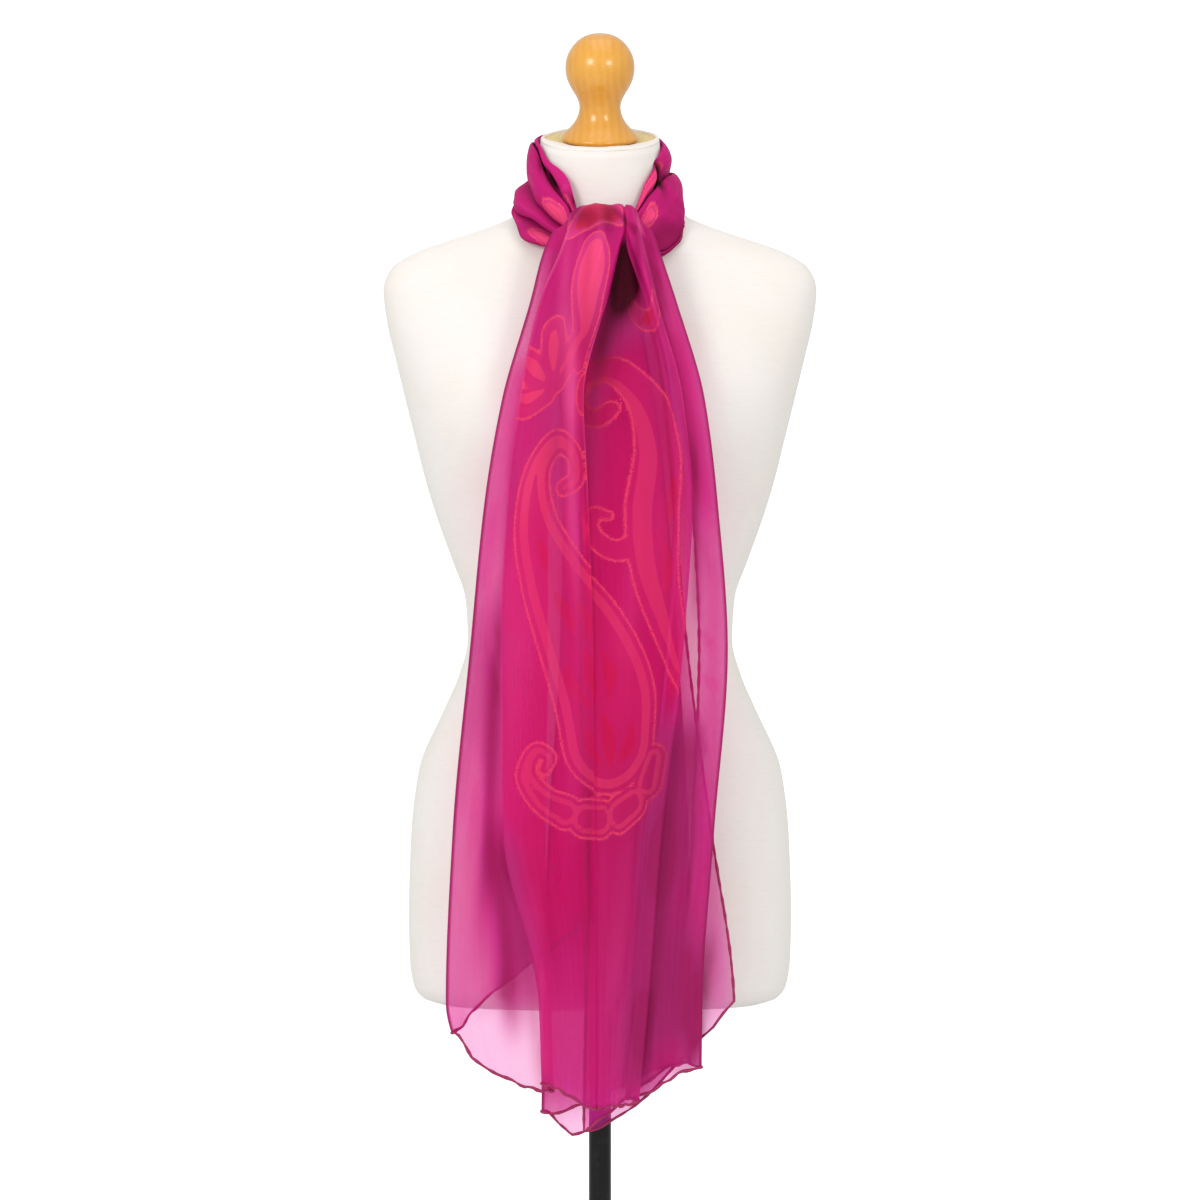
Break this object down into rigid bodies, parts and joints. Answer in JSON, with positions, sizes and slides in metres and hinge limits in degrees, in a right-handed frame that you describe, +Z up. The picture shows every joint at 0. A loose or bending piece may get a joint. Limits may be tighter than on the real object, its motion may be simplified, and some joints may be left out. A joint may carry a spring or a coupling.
{
  "type": "chiffon scarf on a dress form",
  "caption": "Long sheer magenta chiffon scarf with scroll motifs, wrapped round the neck and crossed at the throat of an ivory dress form with a wooden knob, on a pole and round base.",
  "frame": {"origin": "middle of the bottom of the box: on the floor, on the axis of the pole", "axes": "+Z up along the pole; the form faces -Y; +X is to the right of the viewer who faces it"},
  "size_m": [0.39, 0.36, 1.5886],
  "materials": {
    "jersey": "matt ivory jersey over padding",
    "cap_cloth": "matt straw-yellow cloth",
    "knob_wood": "glossy golden varnish",
    "stand_metal": "black, semi-gloss",
    "chiffon": "sheer crisp chiffon with denser motifs and a rolled hem"
  },
  "bodies": {
    "root": {"torso": "jersey", "neck_cap": "cap_cloth", "knob": "knob_wood", "pole": "stand_metal", "base": "stand_metal", "wrap_left": "chiffon", "wrap_back": "chiffon", "wrap_right": "chiffon", "front_fall": "chiffon", "back_fall": "chiffon"}
  },
  "joints": []
}
